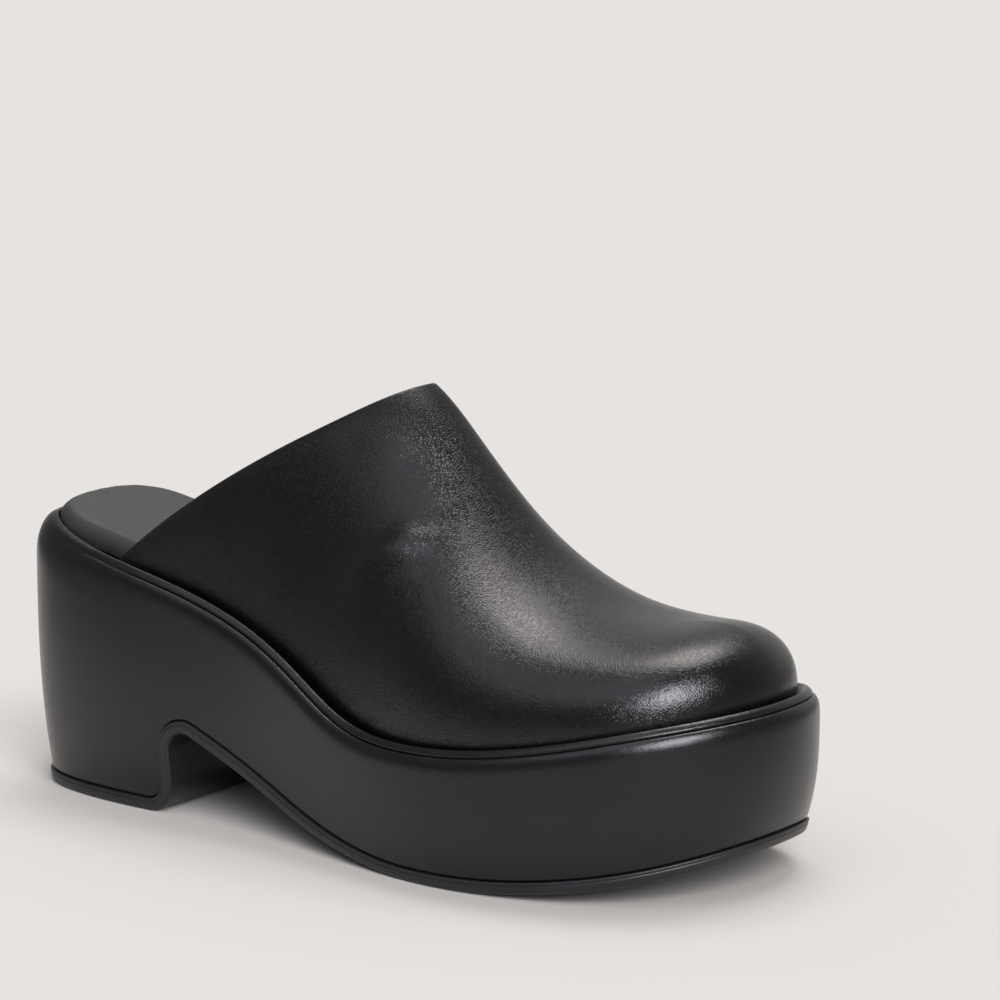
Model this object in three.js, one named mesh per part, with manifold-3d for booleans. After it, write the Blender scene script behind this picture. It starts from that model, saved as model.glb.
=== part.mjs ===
// Platform mule for a right foot: leather-wrapped block sole, rubber outsole, padded insole, hollow vamp.
// Millimetres. +X runs from heel to toe, -Y is the outer side of the foot, +Z is up.
import * as THREE from 'three';
import { mergeVertices } from 'three/addons/utils/BufferGeometryUtils.js';
import Module from 'manifold-3d';

const wasm = await Module();
wasm.setup();

// Lengths of the last and the block.
const soleLength = 268;
const ballWidth = 106;
const heelHeight = 87;
const ballHeight = 40.3;
const instepHeight = 135.5;

// Wall of the block: it bows out, draws in to the sole, and rolls over into the rim.
const endTaper = 5.2;
const sideTaper = 3.9;
const taperStart = 0.76;
const shoulderWidth = 5.2;
const shoulderDrop = 13;
const rimWidth = 6.4;
const heelRimWidth = 7.2;
const rimDepth = 2.2;
const rimLip = 0.3;

// Underside, seen from the side.
const outsoleThickness = 4;
const breastX = 72.2;
const breastRadius = 11;
const notchHeight = 30;
const notchRadius = 6;
const archEndX = 146;
const archRadius = 145;
const springStartX = 182;
const springRadius = 300;
const outsoleInset = 1;

// Insole and upper.
const insoleRise = 4.6;
const insoleRoll = 3.2;
const insoleGap = 0.6;
const wall = 2.2;
const collarSideX = 45.3;
const collarTopX = 138.4;
const crestEndX = 235;
const crestSide = 6.4;
const collarSag = 0.28;
const clearance = 0.25;

// Grid counts.
const loopSteps = 80;
const stationSteps = 26;
const archSteps = 13;

// Widest outline of the block: control rows of a closed curve, shares of length and ball width.
const outlineRows = [
  { along: -0.0025, side: 0.0 },
  { along: 0.0095, side: -0.235 },
  { along: 0.083, side: -0.346 },
  { along: 0.215, side: -0.385 },
  { along: 0.37, side: -0.369 },
  { along: 0.53, side: -0.479 },
  { along: 0.665, side: -0.559 },
  { along: 0.8, side: -0.525 },
  { along: 0.925, side: -0.41 },
  { along: 0.995, side: -0.19 },
  { along: 1.012, side: 0.06 },
  { along: 0.985, side: 0.31 },
  { along: 0.89, side: 0.455 },
  { along: 0.755, side: 0.475 },
  { along: 0.61, side: 0.41 },
  { along: 0.455, side: 0.31 },
  { along: 0.29, side: 0.31 },
  { along: 0.165, side: 0.345 },
  { along: 0.065, side: 0.33 },
  { along: 0.0085, side: 0.205 },
];

// Rim line from heel to toe: rise is 0 at the ball height and 1 at the heel height.
const rimRows = [
  { along: -0.08, rise: 1.1 },
  { along: 0.02, rise: 0.98 },
  { along: 0.12, rise: 0.84 },
  { along: 0.22, rise: 0.755 },
  { along: 0.32, rise: 0.622 },
  { along: 0.42, rise: 0.413 },
  { along: 0.5, rise: 0.152 },
  { along: 0.56, rise: 0.021 },
  { along: 0.63, rise: 0.0 },
  { along: 0.72, rise: 0.024 },
  { along: 0.82, rise: 0.115 },
  { along: 0.92, rise: 0.247 },
  { along: 1.02, rise: 0.351 },
  { along: 1.12, rise: 0.4 },
];

// Crest of the vamp: height as a share of the instep height.
const crestRows = [
  { along: 0.42, height: 1.092 },
  { along: 0.52, height: 1.0 },
  { along: 0.575, height: 0.889 },
  { along: 0.635, height: 0.765 },
  { along: 0.7, height: 0.629 },
  { along: 0.76, height: 0.565 },
  { along: 0.82, height: 0.547 },
  { along: 0.88, height: 0.547 },
  { along: 0.94, height: 0.572 },
  { along: 1.0, height: 0.562 },
  { along: 1.1, height: 0.55 },
];

// Sections of the vamp from the collar (foot 0) to the toe tip (foot 1). A section leaves the rim at
// share foot and meets the crest at share crest. Sweep turns it from leaning back to fanned round the
// toe, side and crown are its roundness, and bulge is how far it bows out.
const sectionRows = [
  { foot: -0.14, crest: -0.1, sweep: 0.0, side: 2.4, crown: 2.1, bulge: 0.0 },
  { foot: 0.0, crest: 0.0, sweep: 0.0, side: 2.4, crown: 2.1, bulge: 0.0 },
  { foot: 0.14, crest: 0.1, sweep: 0.0, side: 2.4, crown: 2.1, bulge: 0.0 },
  { foot: 0.28, crest: 0.22, sweep: 0.05, side: 2.4, crown: 2.08, bulge: 0.02 },
  { foot: 0.42, crest: 0.38, sweep: 0.3, side: 2.55, crown: 2.08, bulge: 0.035 },
  { foot: 0.56, crest: 0.57, sweep: 0.65, side: 2.65, crown: 2.14, bulge: 0.045 },
  { foot: 0.7, crest: 0.76, sweep: 0.92, side: 2.55, crown: 2.3, bulge: 0.04 },
  { foot: 0.84, crest: 0.9, sweep: 1.0, side: 2.5, crown: 2.4, bulge: 0.04 },
  { foot: 1.0, crest: 0.98, sweep: 1.0, side: 2.5, crown: 2.4, bulge: 0.04 },
  { foot: 1.16, crest: 1.06, sweep: 1.0, side: 2.5, crown: 2.4, bulge: 0.04 },
];

const lerp = (a, b, t) => a + (b - a) * t;

const clamp01 = (t) => Math.min(1, Math.max(0, t));

function smooth(from, to, value) {
  const t = clamp01((value - from) / (to - from));
  return t * t * (3 - 2 * t);
}

// Weights of four neighbouring control rows on a uniform cubic curve, and their slopes.
function curveWeights(t) {
  const s = 1 - t;
  return [s * s * s, 3 * t * t * t - 6 * t * t + 4, -3 * t * t * t + 3 * t * t + 3 * t + 1, t * t * t].map((w) => w / 6);
}

function curveSlopes(t) {
  const s = 1 - t;
  return [-s * s, 3 * t * t - 4 * t, -3 * t * t + 2 * t + 1, t * t].map((w) => w / 2);
}

// Turns a table into a smooth function of its first column.
function smoothTable(rows) {
  const names = Object.keys(rows[0]);
  const spans = rows.length - 3;
  const samples = [];
  for (let k = 0; k <= spans * 24; k += 1) {
    const span = Math.min(Math.floor(k / 24), spans - 1);
    const weights = curveWeights(k / 24 - span);
    const sample = names.map((name) => weights.reduce((sum, w, i) => sum + w * rows[span + i][name], 0));
    samples.push(sample);
  }
  return (key) => {
    let k = 1;
    while (k < samples.length - 1 && samples[k][0] < key) k += 1;
    const [a, b] = [samples[k - 1], samples[k]];
    const t = clamp01((key - a[0]) / (b[0] - a[0]));
    return Object.fromEntries(names.map((name, i) => [name, lerp(a[i], b[i], t)]));
  };
}

const rimTable = smoothTable(rimRows);
const crestTable = smoothTable(crestRows);
const sectionTable = smoothTable(sectionRows);

const rimHeight = (x) => lerp(ballHeight, heelHeight, rimTable(x / soleLength).rise);

const crestHeight = (x) => instepHeight * crestTable(x / soleLength).height;

// Point on the outline at turn 0 to 1 (heel, outer side, toe, inner side), moved inward.
function outlineAt(turn, inset) {
  const count = outlineRows.length;
  const place = (((turn % 1) + 1) % 1) * count;
  const span = Math.floor(place);
  const weights = curveWeights(place - span);
  const slopes = curveSlopes(place - span);
  const point = new THREE.Vector2();
  const heading = new THREE.Vector2();
  for (let i = 0; i < 4; i += 1) {
    const row = outlineRows[(span + i + count - 1) % count];
    const control = new THREE.Vector2(row.along * soleLength, row.side * ballWidth);
    point.addScaledVector(control, weights[i]);
    heading.addScaledVector(control, slopes[i]);
  }
  heading.normalize();
  return point.add(new THREE.Vector2(-heading.y, heading.x).multiplyScalar(inset));
}

// Side profile of the underside, raised by offset from the ground side: heel seat, breast, notch,
// sloping arch, forefoot and toe spring, with its corners rounded.
function underside(offset) {
  const slope = Math.atan2(notchHeight, archEndX - breastX);
  const lift = offset / Math.cos(slope);
  const faceX = breastX - offset;
  const slopeHeight = (x) => (archEndX - x) * Math.tan(slope) + lift;
  const corners = [
    { x: -soleLength, z: offset, radius: 0 },
    { x: faceX, z: offset, radius: Math.max(breastRadius - offset, 0.8) },
    { x: faceX, z: slopeHeight(faceX), radius: notchRadius + offset },
    { x: archEndX + (lift - offset) / Math.tan(slope), z: offset, radius: archRadius - offset },
    { x: springStartX, z: offset, radius: 0 },
  ];
  const path = [new THREE.Vector2(corners[0].x, corners[0].z)];
  for (let k = 1; k < corners.length - 1; k += 1) path.push(...roundedCorner(corners, k));
  const radius = springRadius - offset;
  for (let k = 0; k <= 14; k += 1) {
    const turn = k * 0.03;
    path.push(new THREE.Vector2(springStartX + radius * Math.sin(turn), springRadius - radius * Math.cos(turn)));
  }
  return path;
}

function roundedCorner(corners, k) {
  const corner = new THREE.Vector2(corners[k].x, corners[k].z);
  const before = new THREE.Vector2(corners[k - 1].x, corners[k - 1].z).sub(corner).normalize();
  const after = new THREE.Vector2(corners[k + 1].x, corners[k + 1].z).sub(corner).normalize();
  const radius = corners[k].radius;
  const half = Math.acos(before.dot(after)) / 2;
  const start = before.clone().multiplyScalar(radius / Math.tan(half)).add(corner);
  const end = after.clone().multiplyScalar(radius / Math.tan(half)).add(corner);
  const middle = before.clone().add(after).normalize().multiplyScalar(radius / Math.sin(half)).add(corner);
  const from = Math.atan2(start.y - middle.y, start.x - middle.x);
  const to = Math.atan2(end.y - middle.y, end.x - middle.x);
  const turn = ((to - from + 3 * Math.PI) % (2 * Math.PI)) - Math.PI;
  const steps = Math.max(5, Math.ceil(Math.abs(turn) / 0.2));
  return Array.from({ length: steps + 1 }, (_, i) => {
    const angle = from + (turn * i) / steps;
    return new THREE.Vector2(middle.x + radius * Math.cos(angle), middle.y + radius * Math.sin(angle));
  });
}

// Ground line that the wall's height is measured from: flat, then the toe spring.
function groundLine(x) {
  const ahead = Math.max(0, x - springStartX);
  return springRadius - Math.sqrt(springRadius * springRadius - ahead * ahead);
}

// How far the wall draws in at the sole: further at heel and toe than along the sides.
function taperAt(turn) {
  const here = outlineAt(turn, 0);
  const next = outlineAt(turn + 1e-4, 0);
  const across = (next.y - here.y) / here.distanceTo(next);
  return lerp(sideTaper, endTaper, across * across);
}

// How far the wall stands in from the widest outline at a height between ground line and rim.
function wallInset(height, top, taper) {
  const share = height / (taperStart * top);
  const draw = taper * Math.max(0, 1 - share) ** 2.6;
  const over = clamp01(1 - (top - height) / shoulderDrop);
  const roll = shoulderWidth * (1 - Math.sqrt(1 - over * over));
  return draw + roll;
}

// Closed solid through loops of equal length, its two ends closed by strips across the foot.
function stackSolid(loops) {
  const count = loops[0].length;
  const positions = loops.flatMap((loop) => loop.flatMap((p) => [p.x, p.y, p.z]));
  const index = [];
  for (let level = 0; level < loops.length - 1; level += 1) {
    for (let i = 0; i < count; i += 1) {
      const a = level * count + i;
      const b = level * count + ((i + 1) % count);
      index.push(a, b, b + count, a, b + count, a + count);
    }
  }
  index.push(...strips(count, 0, true), ...strips(count, (loops.length - 1) * count, false));
  return closedMesh(positions, index);
}

function strips(count, base, facesDown) {
  const index = [];
  const quad = (a, b, c, d) => {
    const corners = facesDown ? [d, c, b, a] : [a, b, c, d];
    const unique = corners.filter((v, i) => v !== corners[(i + 1) % 4]);
    for (let i = 1; i < unique.length - 1; i += 1) index.push(unique[0], unique[i], unique[i + 1]);
  };
  for (let i = 0; i < count / 2; i += 1) {
    const left = base + i;
    const right = base + ((count - i) % count);
    const rightNext = base + count - i - 1;
    quad(left, left + 1, rightNext, right);
  }
  return index;
}

function closedMesh(positions, index) {
  const geometry = new THREE.BufferGeometry();
  geometry.setAttribute('position', new THREE.Float32BufferAttribute(positions, 3));
  geometry.setIndex(index);
  return geometry;
}

function toSolid(geometry) {
  const bare = geometry.clone();
  bare.deleteAttribute('normal');
  bare.deleteAttribute('uv');
  const merged = mergeVertices(bare, 1e-4);
  const mesh = new wasm.Mesh({
    numProp: 3,
    vertProperties: new Float32Array(merged.attributes.position.array),
    triVerts: new Uint32Array(merged.index.array),
  });
  return new wasm.Manifold(mesh);
}

function fromSolid(solid) {
  const mesh = solid.getMesh();
  return closedMesh(Array.from(mesh.vertProperties), Array.from(mesh.triVerts));
}

// Bar with a side profile (x, z) that runs right across the foot.
function acrossBar(profile) {
  const shape = new THREE.Shape(profile);
  const bar = new THREE.ExtrudeGeometry(shape, { depth: 2 * ballWidth, bevelEnabled: false });
  bar.rotateX(Math.PI / 2);
  bar.translate(0, ballWidth, 0);
  return toSolid(bar);
}

// Everything that lies above the rim line lowered by drop.
function aboveRim(drop) {
  const steps = 64;
  const profile = Array.from({ length: steps + 1 }, (_, i) => {
    const x = lerp(-0.1, 1.1, i / steps) * soleLength;
    return new THREE.Vector2(x, rimHeight(x) - drop);
  });
  const ceiling = 2 * instepHeight;
  profile.push(new THREE.Vector2(profile[steps].x, ceiling), new THREE.Vector2(profile[0].x, ceiling));
  return acrossBar(profile);
}

const turns = Array.from({ length: loopSteps }, (_, i) => i / loopSteps);

// Loop on the block's wall at a share of the height from ground line to rim.
function wallLoop(share, extraInset) {
  return turns.map((turn) => {
    const outer = outlineAt(turn, 0);
    const ground = groundLine(outer.x);
    const top = rimHeight(outer.x) - ground;
    const inset = wallInset(Math.max(0, share) * top, top, taperAt(turn));
    const p = outlineAt(turn, inset + extraInset);
    return new THREE.Vector3(p.x, p.y, ground + share * top);
  });
}

// Loop near the rim: a distance in from the outline and a drop below the rim line.
function rimLoop(insetAt, drop) {
  return turns.map((turn) => {
    const p = outlineAt(turn, insetAt(outlineAt(turn, 0).x));
    return new THREE.Vector3(p.x, p.y, rimHeight(p.x) - drop);
  });
}

// Inner edge of the rim: it steps outward where the upper's wall stands inside it.
function pocketInset(x) {
  return lerp(heelRimWidth, rimWidth, smooth(collarSideX - 7, collarSideX - 1, x));
}

function makePlatform() {
  const shares = [-0.05, 0.08, 0.24, 0.4, 0.56, 0.7, 0.8, 0.88, 0.94, 0.98];
  const loops = shares.map((share) => wallLoop(share, 0));
  loops.push(rimLoop(() => shoulderWidth, 0));
  loops.push(rimLoop((x) => pocketInset(x) - rimLip, rimDepth * 0.35));
  const path = underside(outsoleThickness + clearance);
  const last = path[path.length - 1];
  const below = [...path, new THREE.Vector2(last.x, -heelHeight), new THREE.Vector2(-soleLength, -heelHeight)];
  const block = toSolid(stackSolid(loops)).subtract(acrossBar(below));
  const pocket = toSolid(stackSolid([rimLoop(pocketInset, 2 * rimDepth), rimLoop(pocketInset, -heelHeight)]));
  return fromSolid(block.subtract(pocket.intersect(aboveRim(rimDepth))));
}

function makeOutsole() {
  const shares = [-0.05, 0.08, 0.24, 0.4, 0.56];
  const loops = shares.map((share) => wallLoop(share, -outsoleInset));
  const band = [...underside(0), ...underside(outsoleThickness).reverse()];
  return fromSolid(toSolid(stackSolid(loops)).intersect(acrossBar(band)));
}

// The insole fills the rim at the heel and lies inside the upper's wall in front of it.
function makeInsole() {
  const atHeel = heelRimWidth + clearance;
  const inVamp = rimWidth + clearance + wall + insoleGap;
  const edge = (x) => lerp(atHeel, inVamp, smooth(collarSideX - 30, collarSideX - 4, x));
  const top = rimDepth + insoleRise;
  const loops = [
    rimLoop((x) => edge(x), 2 * rimDepth),
    rimLoop((x) => edge(x), rimDepth * 0.4),
  ];
  for (let k = 0; k <= 4; k += 1) {
    const turn = (k * Math.PI) / 8;
    const inset = insoleRoll * (1 - Math.cos(turn));
    const height = (top - rimDepth) * 0.25 + (top - rimDepth) * 0.75 * Math.sin(turn);
    loops.push(rimLoop((x) => edge(x) + inset + 0.3, -height));
  }
  return fromSolid(toSolid(stackSolid(loops)).intersect(aboveRim(rimDepth - clearance)));
}

// One side of the vamp's outer face: columns of points from the rim up to the crest.
function vampColumns(fromTurn, toTurn) {
  const seatInset = rimWidth + clearance;
  const samples = Array.from({ length: 301 }, (_, i) => lerp(fromTurn, toTurn, i / 300));
  const seat = samples.map((turn) => outlineAt(turn, seatInset));
  const lengths = [0];
  for (let i = 1; i < seat.length; i += 1) lengths.push(lengths[i - 1] + seat[i].distanceTo(seat[i - 1]));
  const total = lengths[300];
  const columns = [];
  for (let s = 0; s <= stationSteps; s += 1) {
    const foot = s / stationSteps;
    let k = 1;
    while (k < 300 && lengths[k] < foot * total) k += 1;
    const t = (foot * total - lengths[k - 1]) / (lengths[k] - lengths[k - 1]);
    const root = seat[k - 1].clone().lerp(seat[k], t);
    columns.push(vampColumn(root, sectionTable(foot)));
  }
  return columns;
}

function vampColumn(root, section) {
  const rootHeight = rimHeight(root.x) - 2 * rimDepth;
  const crestX = lerp(collarTopX, crestEndX, section.crest);
  return Array.from({ length: archSteps + 1 }, (_, i) => {
    const angle = (Math.PI / 2) * (i / archSteps);
    const out = Math.abs(Math.cos(angle)) ** (2 / section.side) * (1 + section.bulge * Math.sin(2 * angle));
    const rise = Math.sin(angle) ** (2 / section.crown);
    const lean = rise - collarSag * rise * (1 - rise);
    const inward = i === archSteps ? 1 : 1 - out;
    const x = lerp(root.x, crestX, lerp(lean, inward, clamp01(section.sweep)));
    const top = crestHeight(crestX + clamp01(section.sweep) * (x - crestX));
    return new THREE.Vector3(x, lerp(root.y, crestSide, inward), lerp(rootHeight, top, rise));
  });
}

// Turn of the seat line at a given distance from the heel, found by halving.
function seatTurn(x, low, high) {
  let [a, b] = [low, high];
  for (let k = 0; k < 40; k += 1) {
    const middle = (a + b) / 2;
    if (outlineAt(middle, rimWidth + clearance).x < x) a = middle;
    else b = middle;
  }
  return a;
}

function makeUpper() {
  const toeTurn = 0.5;
  const outer = vampColumns(seatTurn(collarSideX, 0.02, toeTurn), toeTurn);
  const inner = vampColumns(seatTurn(collarSideX, 0.98, toeTurn), toeTurn);
  const columns = 2 * stationSteps;
  const points = [];
  const place = new Map();
  const vertex = (column, row) => {
    const mirrored = row === archSteps ? Math.min(column, columns - column) : column;
    const key = `${mirrored},${row}`;
    if (!place.has(key)) {
      const side = mirrored <= stationSteps ? outer[mirrored] : inner[columns - mirrored];
      place.set(key, points.length);
      points.push(side[row].clone());
    }
    return place.get(key);
  };
  const faces = [];
  for (let column = 0; column < columns; column += 1) {
    for (let row = 0; row < archSteps; row += 1) {
      const [a, b] = [vertex(column, row), vertex(column + 1, row)];
      const [c, d] = [vertex(column + 1, row + 1), vertex(column, row + 1)];
      if (a !== b && b !== c) faces.push([a, b, c]);
      if (c !== d && d !== a) faces.push([a, c, d]);
    }
  }
  const border = [];
  for (let column = 0; column <= columns; column += 1) border.push(vertex(column, 0));
  for (let row = 1; row <= archSteps; row += 1) border.push(vertex(columns, row));
  for (let row = archSteps - 1; row > 0; row -= 1) border.push(vertex(0, row));
  const seatCount = columns + 1;
  const sheet = thickSheet(points, faces, border, border.slice(0, seatCount));
  return fromSolid(sheet.intersect(aboveRim(rimDepth - clearance)));
}

// Gives a sheet its wall: an inner copy along the normals, joined round the border. The seat
// vertices keep their height, so the lower edge stays parallel to the rim.
function thickSheet(points, faces, border, seat) {
  const normals = points.map(() => new THREE.Vector3());
  for (const [a, b, c] of faces) {
    const first = points[b].clone().sub(points[a]);
    const normal = first.cross(points[c].clone().sub(points[a]));
    for (const v of [a, b, c]) normals[v].add(normal);
  }
  for (const v of seat) normals[v].z = 0;
  const lined = points.map((p, v) => p.clone().addScaledVector(normals[v].normalize(), -wall));
  const positions = [...points, ...lined].flatMap((p) => [p.x, p.y, p.z]);
  const index = faces.flat();
  for (const [a, b, c] of faces) index.push(c + points.length, b + points.length, a + points.length);
  for (let i = 0; i < border.length; i += 1) {
    const [a, b] = [border[i], border[(i + 1) % border.length]];
    index.push(b, a, a + points.length, b, a + points.length, b + points.length);
  }
  return toSolid(closedMesh(positions, index));
}

const smoothLeather = new THREE.MeshStandardMaterial({ name: 'smooth_leather', color: 0x17171a, roughness: 0.36 });
const wrapLeather = new THREE.MeshStandardMaterial({ name: 'wrap_leather', color: 0x1b1b1e, roughness: 0.48 });
const liningLeather = new THREE.MeshStandardMaterial({ name: 'lining_leather', color: 0x2c2c2f, roughness: 0.62 });
const rubber = new THREE.MeshStandardMaterial({ name: 'sole_rubber', color: 0x26272c, roughness: 0.58 });

function namedMesh(name, geometry, material) {
  const mesh = new THREE.Mesh(geometry, material);
  mesh.name = name;
  return mesh;
}

const mule = new THREE.Group();
mule.name = 'platform_mule';
mule.add(namedMesh('outsole', makeOutsole(), rubber));
mule.add(namedMesh('platform', makePlatform(), wrapLeather));
mule.add(namedMesh('insole', makeInsole(), liningLeather));
mule.add(namedMesh('upper', makeUpper(), smoothLeather));

// The origin lies under the middle of the shoe, on the floor.
const extent = new THREE.Box3().setFromObject(mule);
const middle = extent.getCenter(new THREE.Vector3());
mule.position.set(-middle.x, -middle.y, -extent.min.z);
mule.updateMatrixWorld(true);

export default mule;
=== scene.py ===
import math
import bmesh
import bpy
import numpy as np
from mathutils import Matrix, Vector


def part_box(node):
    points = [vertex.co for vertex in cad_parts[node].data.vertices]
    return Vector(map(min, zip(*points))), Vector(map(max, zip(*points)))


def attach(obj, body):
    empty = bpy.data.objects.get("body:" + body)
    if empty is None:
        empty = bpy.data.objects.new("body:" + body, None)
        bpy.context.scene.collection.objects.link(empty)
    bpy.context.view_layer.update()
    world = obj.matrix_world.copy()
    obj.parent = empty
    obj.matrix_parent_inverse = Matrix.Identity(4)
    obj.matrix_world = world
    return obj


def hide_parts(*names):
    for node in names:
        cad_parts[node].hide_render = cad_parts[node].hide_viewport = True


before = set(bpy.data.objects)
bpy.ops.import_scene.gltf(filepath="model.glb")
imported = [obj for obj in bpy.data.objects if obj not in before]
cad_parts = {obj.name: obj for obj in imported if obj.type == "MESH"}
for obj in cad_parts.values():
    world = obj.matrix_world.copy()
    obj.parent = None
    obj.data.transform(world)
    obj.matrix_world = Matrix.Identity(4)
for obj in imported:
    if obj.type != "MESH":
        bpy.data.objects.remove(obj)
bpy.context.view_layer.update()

# Sizes of the shoe in millimetres, as in the part's source.

last = {
    "soleLength": 268.0,
    "ballWidth": 106.0,
    "heelHeight": 87.0,
    "ballHeight": 40.3,
    "instepHeight": 135.5,
}

block = {
    "taper": (3.9, 5.2),     # how far the wall draws in at the sole: along the sides, at the ends
    "taperStart": 0.76,      # share of the height where it starts
    "taperPower": 2.6,
    "shoulderWidth": 5.2,
    "shoulderDrop": 13.0,
    "rimWidth": 6.4,
    "heelRimWidth": 7.2,
    "rimBlend": (7.0, 1.0),  # behind the collar's foot: where the rim narrows, where it has
    "rimDepth": 2.2,
    "seam": 0.05,            # between outsole and leather
    "curl": (0.7, 0.9),      # how high and how far in the leather rolls at the outsole
    "beadStarts": (70.0, 12.0),  # x where the bead is whole, x where it has faded out
    "beadInside": (4.0, 6.4),    # distance in from where the bead turns towards the pocket's edge
    "join": (187.0, 182.5),  # x at the top and the foot of the cover's slanting join
    "joinDepth": 0.3,
    "joinWidth": 0.7,
    "joinReach": 6.5,        # how far below the rim its foot lies
    "joinFades": ((2.1, 1.8), (7.5, 5.5)),  # distance in and drop: where it is gone, where it is whole
}

# The shoulder and the bead along the upper: distance in from the outline, drop below the rim.
beadRows = np.array([
    (0.0, 15.0), (0.0, 13.0), (0.0, 11.0), (0.0, 8.8), (0.02, 7.0), (0.1, 5.7), (0.3, 4.6),
    (0.65, 3.65), (1.05, 2.95), (1.45, 2.5), (1.85, 2.28), (2.25, 2.3), (2.5, 2.6), (2.4, 2.1),
    (2.22, 1.65), (2.32, 1.3), (2.72, 0.85), (3.15, 0.45), (3.6, 0.16), (4.0, 0.08), (4.45, 0.3),
    (4.95, 0.85), (5.5, 1.7), (6.1, 2.9), (6.6, 4.6),
])

# The same row by row at the heel, where the shoulder rolls over without a crease.
heelRows = np.array([
    (0.0, 15.0), (0.0, 13.0), (0.08, 11.0), (0.25, 9.4), (0.5, 8.0), (0.85, 6.8), (1.2, 5.8),
    (1.6, 4.9), (2.0, 4.1), (2.4, 3.45), (2.8, 2.9), (3.2, 2.4), (3.6, 1.95), (4.0, 1.55),
    (4.4, 1.2), (4.8, 0.9), (5.2, 0.65), (5.6, 0.45), (5.95, 0.35), (6.25, 0.45), (6.45, 0.8),
    (6.55, 1.5), (6.6, 2.5), (6.6, 3.6), (6.6, 4.6),
])

sole = {
    "thickness": 4.0,
    "breastX": 72.2,
    "breastRadius": 11.0,
    "notchHeight": 30.0,
    "notchRadius": 6.0,
    "archEndX": 146.0,
    "archRadius": 145.0,
    "springStartX": 182.0,
    "springRadius": 300.0,
}

leatherFoot = sole["thickness"] + block["seam"]   # where the wall starts above the ground side

upper = {
    "wall": 2.2,
    "collarSideX": 45.3,
    "collarTopX": 138.4,
    "crestEndX": 235.0,
    "crestSide": 6.4,
    "collarSag": 0.28,
    "clearance": 0.25,
    "topline": 6.0,          # width of the turned edge
    "toplineDepth": 0.8,
    "seatDrop": 0.6,         # how far the upper reaches below the pocket's floor
    "backDepth": 0.9,        # thickness of the outer leather
    "liningDepth": 0.55,
    "hemRows": 5,            # width of the turned edge inside, in rows of the grid
}

# Control rows of the widest outline: share of length, share of ball width, outer side negative.
outlineRows = np.array([
    (-0.0025, 0.0), (0.0095, -0.235), (0.083, -0.346), (0.215, -0.385), (0.37, -0.369),
    (0.53, -0.479), (0.665, -0.559), (0.8, -0.525), (0.925, -0.41), (0.995, -0.19),
    (1.012, 0.06), (0.985, 0.31), (0.89, 0.455), (0.755, 0.475), (0.61, 0.41),
    (0.455, 0.31), (0.29, 0.31), (0.165, 0.345), (0.065, 0.33), (0.0085, 0.205),
]) * (last["soleLength"], last["ballWidth"])

# Rim line: share of length, rise (0 at the ball, 1 at the heel).
rimRows = np.array([
    (-0.08, 1.1), (0.02, 0.98), (0.12, 0.84), (0.22, 0.755), (0.32, 0.622), (0.42, 0.413), (0.5, 0.152),
    (0.56, 0.021), (0.63, 0.0), (0.72, 0.024), (0.82, 0.115), (0.92, 0.247), (1.02, 0.351), (1.12, 0.4),
])

# Crest of the vamp: share of length, share of instep height.
crestRows = np.array([
    (0.42, 1.092), (0.52, 1.0), (0.575, 0.889), (0.635, 0.765), (0.7, 0.629), (0.76, 0.565),
    (0.82, 0.547), (0.88, 0.547), (0.94, 0.572), (1.0, 0.562), (1.1, 0.55),
])

# Sections of the vamp, collar to toe tip: foot, crest, sweep, side, crown, bulge.
sectionRows = np.array([
    (-0.14, -0.1, 0.0, 2.4, 2.1, 0.0),
    (0.0, 0.0, 0.0, 2.4, 2.1, 0.0),
    (0.14, 0.1, 0.0, 2.4, 2.1, 0.0),
    (0.28, 0.22, 0.05, 2.4, 2.08, 0.02),
    (0.42, 0.38, 0.3, 2.55, 2.08, 0.035),
    (0.56, 0.57, 0.65, 2.65, 2.14, 0.045),
    (0.7, 0.76, 0.92, 2.55, 2.3, 0.04),
    (0.84, 0.9, 1.0, 2.5, 2.4, 0.04),
    (1.0, 0.98, 1.0, 2.5, 2.4, 0.04),
    (1.16, 1.06, 1.0, 2.5, 2.4, 0.04),
])


# Weights of four control points on a cubic spline, with t from 0 to 1 along the span.
def curveWeights(t):
    s = 1 - t
    return np.stack([s**3, 3 * t**3 - 6 * t**2 + 4, -3 * t**3 + 3 * t**2 + 3 * t + 1, t**3], -1) / 6


# How those weights change with t, for the spline's heading.
def curveSlopes(t):
    return np.stack([-(1 - t) ** 2, 3 * t**2 - 4 * t, -3 * t**2 + 2 * t + 1, t**2], -1) / 2


# Three t squared less two t cubed, where t goes from 0 at low to 1 at high.
def smoothStep(low, high, value):
    t = np.clip((value - low) / (high - low), 0, 1)
    return t * t * (3 - 2 * t)


# Samples the smooth curve that a table's rows control.
def smoothTable(rows, perSpan=40):
    spans = len(rows) - 3
    place = np.linspace(0, spans, spans * perSpan + 1)
    span = np.minimum(place.astype(int), spans - 1)
    weights = curveWeights(place - span)
    return sum(weights[:, i:i + 1] * rows[span + i] for i in range(4))


rimTable = smoothTable(rimRows)
crestTable = smoothTable(crestRows)
sectionTable = smoothTable(sectionRows)


# Ball height plus the table's rise times what the heel is higher.
def rimHeight(x):
    rise = np.interp(x / last["soleLength"], rimTable[:, 0], rimTable[:, 1])
    return last["ballHeight"] + rise * (last["heelHeight"] - last["ballHeight"])


# Instep height times the table's share.
def crestHeight(x):
    return last["instepHeight"] * np.interp(x / last["soleLength"], crestTable[:, 0], crestTable[:, 1])


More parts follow.
